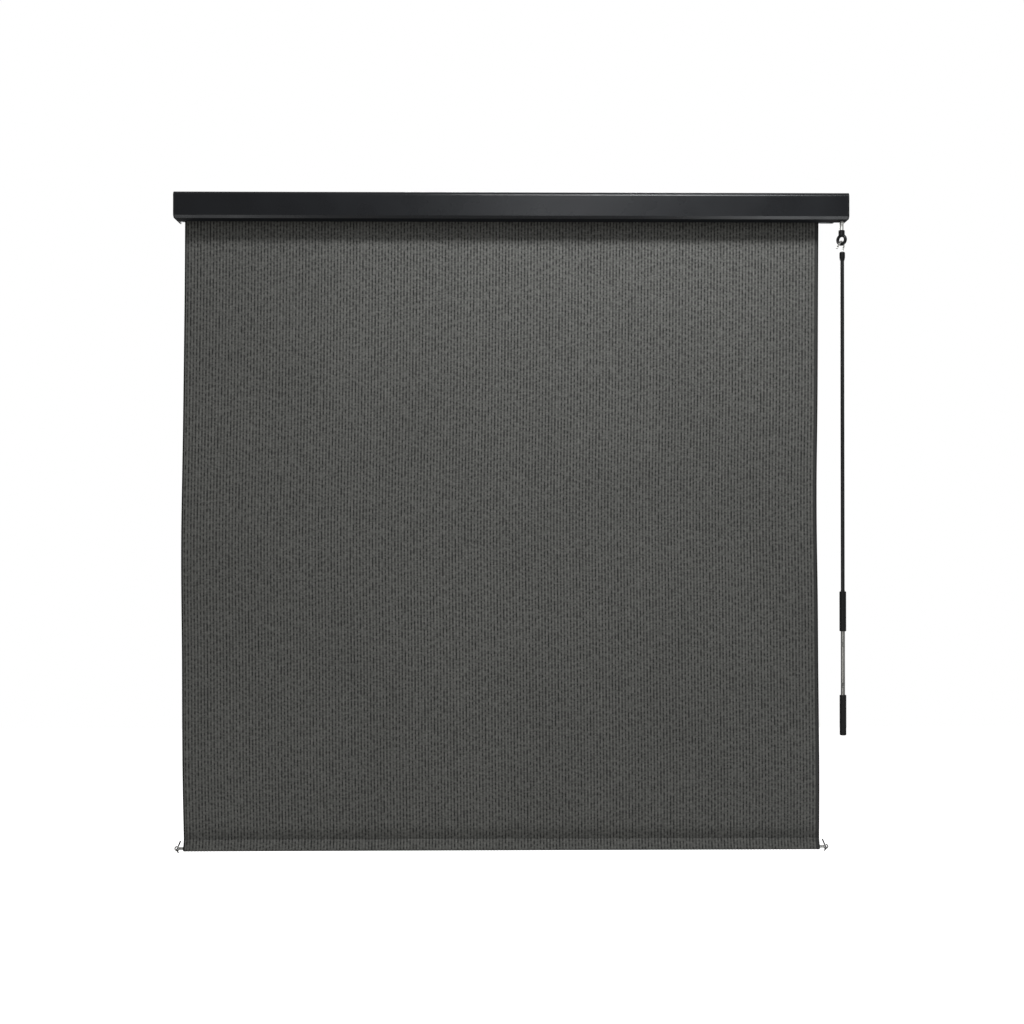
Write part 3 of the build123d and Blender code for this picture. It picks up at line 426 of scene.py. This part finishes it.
def knit_material():
    """Charcoal knit: paler twisted yarn on the ribs, and grooves that open into dark dots."""
    shade = Shade("charcoal_knit")
    x, z, _ = shade.split(shade.place((1, 1, 1), "UV"))

    def noise(across, across_steps, down_steps, seed):
        place = shade.join(shade.math("MULTIPLY", across, across_steps),
                           shade.math("MULTIPLY", z, down_steps), seed)
        return shade.noise(place, KNIT_DETAIL)

    from_left = shade.math("SUBTRACT", x, LEFT_X)
    from_right = shade.math("SUBTRACT", RIGHT_X, x)
    ribs = shade.math("DIVIDE", from_left, RIB_PITCH)
    which_rib = shade.math("FLOOR", ribs)
    which_groove = shade.math("FLOOR", shade.math("ADD", ribs, 0.5))
    off_middle = shade.math("ABSOLUTE", shade.math("SUBTRACT", shade.math("FRACT", ribs), 0.5))
    crest = shade.between(off_middle, *CREST_BAND)
    groove = shade.math("SUBTRACT", 1.0, crest)
    rows = shade.math("DIVIDE", z, LOOP_HEIGHT)
    chevron = shade.math("FRACT", shade.math("ADD", rows, shade.math("MULTIPLY", off_middle, CHEVRON_SLOPE)))
    loop = shade.between(shade.math("ABSOLUTE", shade.math("SUBTRACT", chevron, 0.5)), *LOOP_BAND)

    dots = shade.between(noise(which_groove, RIB_STEP, DOTS_DOWN, DOT_SEED), *DOT_BAND)
    slub = shade.between(noise(which_rib, RIB_STEP, SLUBS_DOWN, SLUB_SEED), *SLUB_BAND)
    fleck = noise(x, *FLECKS, FLECK_SEED)
    cloud = noise(x, *CLOUDS, CLOUD_SEED)
    pale = shade.math("MULTIPLY", slub, shade.between(loop, *YARN_TONE))
    deep = shade.between(dots, *GROOVE_TONE)
    lightness = shade.math("ADD", shade.math("MULTIPLY", crest, pale), shade.math("MULTIPLY", groove, deep))
    lightness = shade.math("MULTIPLY", lightness, shade.between(fleck, *FLECK_BAND))
    lightness = shade.math("MULTIPLY", lightness, shade.between(cloud, *CLOUD_BAND), clamp=True)
    yarn = shade.ramp(lightness, (0.0, KNIT_DARK), (1.0, KNIT_PALE))

    left = shade.math("LESS_THAN", x, LEFT_X + LEFT_BAND)
    right = shade.math("GREATER_THAN", x, RIGHT_X - RIGHT_BAND)
    band = shade.math("ADD", left, right, clamp=True)
    rim = shade.math("LESS_THAN", shade.math("MINIMUM", from_left, from_right), RIM)
    banded = shade.tint(band, yarn, shade.ramp(fleck, *WEFT_TONES))
    shade.surface("Base Color", shade.tint(rim, banded, KNIT_DARK))
    shade.surface("Roughness", shade.between(lightness, *YARN_ROUGHNESS))
    shade.surface("Specular IOR Level", KNIT_SPECULAR)
    relief = shade.math("MULTIPLY", crest, shade.between(loop, *LOOP_RELIEF))
    relief = shade.math("ADD", relief, shade.math("MULTIPLY", fleck, FLECK_RELIEF))
    shade.bump(relief, *KNIT_BUMP)
    return shade.material


# A hard finish: two tones, roughness limits, grain steps per metre in x, y and z, bump depth in metres,
# specular level and metal share
Finish = namedtuple("Finish", "dark light rough scale depth specular metal")
HARD = {
    "pelmet_black": Finish((0.0025, 0.0029, 0.0038), (0.004, 0.0046, 0.0058), (0.25, 0.31),
                           (520, 520, 520), 0.00002, 0.13, 0.0),
    "cap_black": Finish((0.0028, 0.003, 0.0036), (0.0048, 0.005, 0.0056), (0.36, 0.46),
                        (900, 900, 900), 0.00003, 0.13, 0.0),
    "zinc_steel": Finish((0.34, 0.35, 0.36), (0.48, 0.49, 0.5), (0.3, 0.46),
                         (70, 70, 70), 0.00001, 0.5, 1.0),
    "tube_aluminium": Finish((0.5, 0.51, 0.52), (0.62, 0.63, 0.64), (0.28, 0.42),
                             (3, 900, 900), 0.000008, 0.5, 1.0),
    "inner_plastic": Finish((0.014, 0.014, 0.016), (0.026, 0.026, 0.028), (0.42, 0.6),
                            (700, 700, 700), 0.00003, 0.3, 0.0),
    "bush_plastic": Finish((0.52, 0.51, 0.47), (0.64, 0.63, 0.59), (0.4, 0.55),
                           (400, 400, 400), 0.00002, 0.4, 0.0),
    "gear_zinc": Finish((0.26, 0.27, 0.28), (0.38, 0.39, 0.4), (0.4, 0.58),
                        (260, 260, 260), 0.00004, 0.5, 1.0),
    "gear_steel": Finish((0.32, 0.32, 0.33), (0.45, 0.45, 0.46), (0.22, 0.38),
                         (500, 500, 500), 0.00001, 0.5, 1.0),
    "crank_black": Finish((0.0032, 0.0033, 0.0034), (0.0058, 0.0059, 0.006), (0.3, 0.4),
                          (600, 600, 600), 0.00002, 0.14, 0.0),
    "grip_black": Finish((0.0024, 0.0024, 0.0026), (0.0044, 0.0044, 0.0046), (0.46, 0.6),
                         (1100, 1100, 1100), 0.00004, 0.1, 0.0),
    "eye_black": Finish((0.002, 0.002, 0.0022), (0.004, 0.004, 0.0043), (0.26, 0.38),
                        (650, 650, 650), 0.00002, 0.1, 0.0),
    "bright_nickel": Finish((0.28, 0.277, 0.266), (0.44, 0.436, 0.42), (0.26, 0.38),
                            (900, 900, 14), 0.000006, 0.5, 1.0),
    "arm_steel": Finish((0.085, 0.084, 0.08), (0.15, 0.148, 0.142), (0.26, 0.38),
                        (900, 900, 14), 0.000006, 0.5, 1.0),
}
# Bright pieces whose plating is duller than the hook's
DULLER = ("crank_arm", "rod_fork", "handle_spindle", "upper_hinge_pin", "lower_hinge_pin", "handle_screw",
          "left_eye_bolt", "right_eye_bolt")
# Painted shade: where a coating faces down it is made rough and its gloss nearly taken away, so it stays
# dark as if in shade. Its roughness and specular level there, and the normal's z from which that begins and
# at which it is full
UNDERSIDE_SHADE_ROUGHNESS = {"pelmet_black": 0.85, "cap_black": 0.85}
UNDERSIDE_SHADE_SPECULAR = 0.06
FACING_DOWN = (-0.9, -0.98)
# The tone mixes fine grain and broad clouds, and the roughness follows the clouds. The limits are the noise
# values at which each is at its two ends
CLOUD_SCALE = (9, 9, 9)
GRAIN_SHARE = 0.6
CLOUD_SHARE = 0.4
TONE_LIMITS = (0.35, 0.65)
ROUGH_LIMITS = (0.3, 0.7)
GRAIN_DETAIL = 3.0
GRAIN_STRENGTH = 0.6


def hard_material(name):
    """A moulded, painted or metal finish with grain and uneven gloss."""
    finish = HARD[name]
    shade = Shade(name + "_finish")
    grain = shade.noise(shade.place(finish.scale), GRAIN_DETAIL)
    cloud = shade.noise(shade.place(CLOUD_SCALE), GRAIN_DETAIL)
    tone = shade.math("ADD", shade.math("MULTIPLY", grain, GRAIN_SHARE),
                      shade.math("MULTIPLY", cloud, CLOUD_SHARE))
    shade.surface("Base Color", shade.ramp(tone, *zip(TONE_LIMITS, (finish.dark, finish.light))))
    rough = shade.between(cloud, *ROUGH_LIMITS, *finish.rough)
    specular = finish.specular
    # Painted shade: faces turned down lose their gloss, so they stay dark as if in shade
    if name in UNDERSIDE_SHADE_ROUGHNESS:
        facing = shade.tree.nodes.new("ShaderNodeNewGeometry").outputs["True Normal"]
        below = shade.between(shade.split(facing)[2], *FACING_DOWN, 0.0, UNDERSIDE_SHADE_ROUGHNESS[name])
        rough = shade.math("MAXIMUM", rough, below)
        specular = shade.between(below, 0.0, UNDERSIDE_SHADE_ROUGHNESS[name], specular, UNDERSIDE_SHADE_SPECULAR)
    shade.surface("Specular IOR Level", specular)
    shade.surface("Roughness", rough)
    shade.surface("Metallic", finish.metal)
    shade.bump(grain, GRAIN_STRENGTH, finish.depth)
    return shade.material


# Sewing thread: twists per metre in x and z, then tones and roughness from the groove between two plies to
# a ply's crest, then the bump's strength and depth in metres
TWISTS = (1400.0, 2200.0)
THREAD_TONES = ((0.0, (0.05, 0.05, 0.052)), (0.5, (0.12, 0.12, 0.122)))
THREAD_ROUGHNESS = (0.0, 0.5, 0.6, 0.45)
THREAD_BUMP = (0.5, 0.0001)


def thread_material():
    """Dark polyester sewing thread, twisted."""
    shade = Shade("hem_thread")
    x, _, z = shade.split(shade.place((1, 1, 1)))
    twist = shade.math("FRACT", shade.math("ADD", shade.math("MULTIPLY", x, TWISTS[0]),
                                           shade.math("MULTIPLY", z, TWISTS[1])))
    ply = shade.math("ABSOLUTE", shade.math("SUBTRACT", twist, 0.5))
    shade.surface("Base Color", shade.ramp(ply, *THREAD_TONES))
    shade.surface("Roughness", shade.between(ply, *THREAD_ROUGHNESS))
    shade.bump(ply, *THREAD_BUMP)
    return shade.material


def dress(thing, material):
    """Gives an object one material in place of those it has."""
    thing.data.materials.clear()
    thing.data.materials.append(material)


knit = knit_material()
finishes = {name: hard_material(name) for name in HARD}
slot_of = {entry["node"]: entry["material_slot"] for entry in frame["record"]["subparts"]}

sheet = make_sheet()
hem = make_hem()
stitching = make_stitching()
roll = make_roll()
for piece in (sheet, hem, roll):
    dress(piece, knit)
dress(stitching, thread_material())

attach(sheet, "housing")
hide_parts("fabric_drop")
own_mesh(sheet)
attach(hem, "rail")
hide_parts("fabric_hem")
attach(stitching, "rail")
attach(roll, "roller")
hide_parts("fabric_roll")

for node_name, node in nodes.items():
    finish_name = "arm_steel" if node_name in DULLER else slot_of.get(node_name)
    if finish_name in finishes:
        dress(node, finishes[finish_name])

# Lights: place, point aimed at, width and height in metres, power in watts, colour
WHITE = (1.0, 1.0, 1.0)
CARD_COLOUR = (0.95, 0.98, 1.0)
LIGHTS = {
    "key": ((0.38, -1.45, 1.05), (0.45, -0.02, -0.45), 1.1, 0.36, 56, (0.98, 0.99, 1.0)),
    "front": ((0.36, -4.35, 0.98), (0.1, 0.0, -0.2), 0.7, 0.8, 18.5, (0.94, 0.97, 1.0)),
    "low_fill": ((-0.2, -3.0, -1.6), (0.0, 0.0, -1.5), 1.5, 1.0, 25, (1.0, 0.99, 0.95)),
    "rear": ((0.3, 2.6, 0.6), (0.0, 0.0, -0.9), 1.6, 1.6, 65, WHITE),
    "right_card": ((1.45, -0.72, -2.5), (1.45, -0.72, 0.0), 0.8, 0.6, 20, CARD_COLOUR),
    "left_card": ((-1.5, -0.72, -2.5), (-1.5, -0.72, 0.0), 0.8, 0.6, 8, CARD_COLOUR),
    "top_card": ((0.85, -1.64, 1.33), (0.5, -0.11, 0.04), 0.9, 0.5, 60, CARD_COLOUR),
}
# Lights that show in gloss and don't light what is matt
REFLECTIONS_ONLY = ("right_card", "left_card", "top_card")


def area_light(name, place, target, width, height, power, colour):
    """A rectangular lamp that faces its target."""
    lamp = bpy.data.lights.new(name, "AREA")
    lamp.color = colour
    lamp.shape = "RECTANGLE"
    lamp.size = width
    lamp.size_y = height
    lamp.energy = power
    made = bpy.data.objects.new(name, lamp)
    bpy.context.scene.collection.objects.link(made)
    made.location = place
    away = made.location - Vector(target)
    made.rotation_euler = away.to_track_quat("Z", "Y").to_euler()
    made.visible_diffuse = name not in REFLECTIONS_ONLY


for light_name, settings in LIGHTS.items():
    area_light(light_name, *settings)

FLOOR_Z = -2.7
FLOOR_HALF = 7.0
FLOOR_COLOUR = (0.8, 0.8, 0.8, 1.0)
# The floor's glow rises between two levels, over these distances in metres from its middle
FLOOR_GLOW = (0.7, 0.97)
FLOOR_GLOW_FROM = (1.0, 3.0)
ROOM_COLOUR = (1.0, 1.0, 1.0, 1.0)
ROOM_LIGHT = 0.28


def seen_directly(tree):
    """1 for what the camera, a mirror or a clear piece sees, and 0 for light."""
    path = tree.nodes.new("ShaderNodeLightPath")
    total = path.outputs["Is Camera Ray"]
    for name in ("Is Glossy Ray", "Is Transmission Ray"):
        either = tree.nodes.new("ShaderNodeMath")
        either.operation = "MAXIMUM"
        tree.links.new(total, either.inputs[0])
        tree.links.new(path.outputs[name], either.inputs[1])
        total = either.outputs[0]
    return total


def floor_material():
    """A matt floor with a glow that only shows where it is looked at, so that it looks white."""
    material = bpy.data.materials.new("pale_floor")
    tree = emptied_tree(material)
    output = tree.nodes.new("ShaderNodeOutputMaterial")
    both = tree.nodes.new("ShaderNodeAddShader")
    matt = tree.nodes.new("ShaderNodeBsdfDiffuse")
    matt.inputs["Color"].default_value = FLOOR_COLOUR
    glow = tree.nodes.new("ShaderNodeEmission")
    level = tree.nodes.new("ShaderNodeMath")
    level.operation = "MULTIPLY"
    place = tree.nodes.new("ShaderNodeTexCoord")
    distance = tree.nodes.new("ShaderNodeVectorMath")
    distance.operation = "DISTANCE"
    distance.inputs[1].default_value = (0.0, 0.0, FLOOR_Z)
    rise = tree.nodes.new("ShaderNodeMapRange")
    rise.inputs["From Min"].default_value, rise.inputs["From Max"].default_value = FLOOR_GLOW_FROM
    rise.inputs["To Min"].default_value, rise.inputs["To Max"].default_value = FLOOR_GLOW
    tree.links.new(place.outputs["Object"], distance.inputs[0])
    tree.links.new(distance.outputs["Value"], rise.inputs["Value"])
    tree.links.new(rise.outputs[0], level.inputs[1])
    tree.links.new(seen_directly(tree), level.inputs[0])
    tree.links.new(level.outputs[0], glow.inputs["Strength"])
    tree.links.new(matt.outputs[0], both.inputs[0])
    tree.links.new(glow.outputs[0], both.inputs[1])
    tree.links.new(both.outputs[0], output.inputs["Surface"])
    return material


def studio_world():
    """White where it is looked at, and dimmer as a source of light."""
    world = bpy.data.worlds.new("studio")
    tree = emptied_tree(world)
    output = tree.nodes.new("ShaderNodeOutputWorld")
    back = tree.nodes.new("ShaderNodeBackground")
    back.inputs["Color"].default_value = ROOM_COLOUR
    level = tree.nodes.new("ShaderNodeMapRange")
    level.inputs["To Min"].default_value = ROOM_LIGHT
    tree.links.new(seen_directly(tree), level.inputs["Value"])
    tree.links.new(level.outputs[0], back.inputs["Strength"])
    tree.links.new(back.outputs[0], output.inputs["Surface"])
    return world


floor_corners = [(x * FLOOR_HALF, y * FLOOR_HALF, FLOOR_Z) for x, y in ((-1, -1), (1, -1), (1, 1), (-1, 1))]
floor = new_object("floor", floor_corners, [(0, 1, 2, 3)], smooth=False)
dress(floor, floor_material())
bpy.context.scene.world = studio_world()

# The photo's view: lens and sensor in mm, place in metres, turns in degrees
LENS = 48.21
SENSOR_WIDTH = 36.0
CLIP_END = 100.0
CAMERA_PLACE = (-0.0544, -4.35, -0.97778)
CAMERA_TURNS = (90.333, 0.0255, -0.717)
camera_data = bpy.data.cameras.new("camera")
camera_data.sensor_width = SENSOR_WIDTH
camera_data.lens = LENS
camera_data.clip_end = CLIP_END
camera = bpy.data.objects.new("camera", camera_data)
bpy.context.scene.collection.objects.link(camera)
camera.location = CAMERA_PLACE
camera.rotation_euler = [math.radians(turn) for turn in CAMERA_TURNS]
bpy.context.scene.camera = camera
bpy.context.scene.view_settings.view_transform = "Standard"
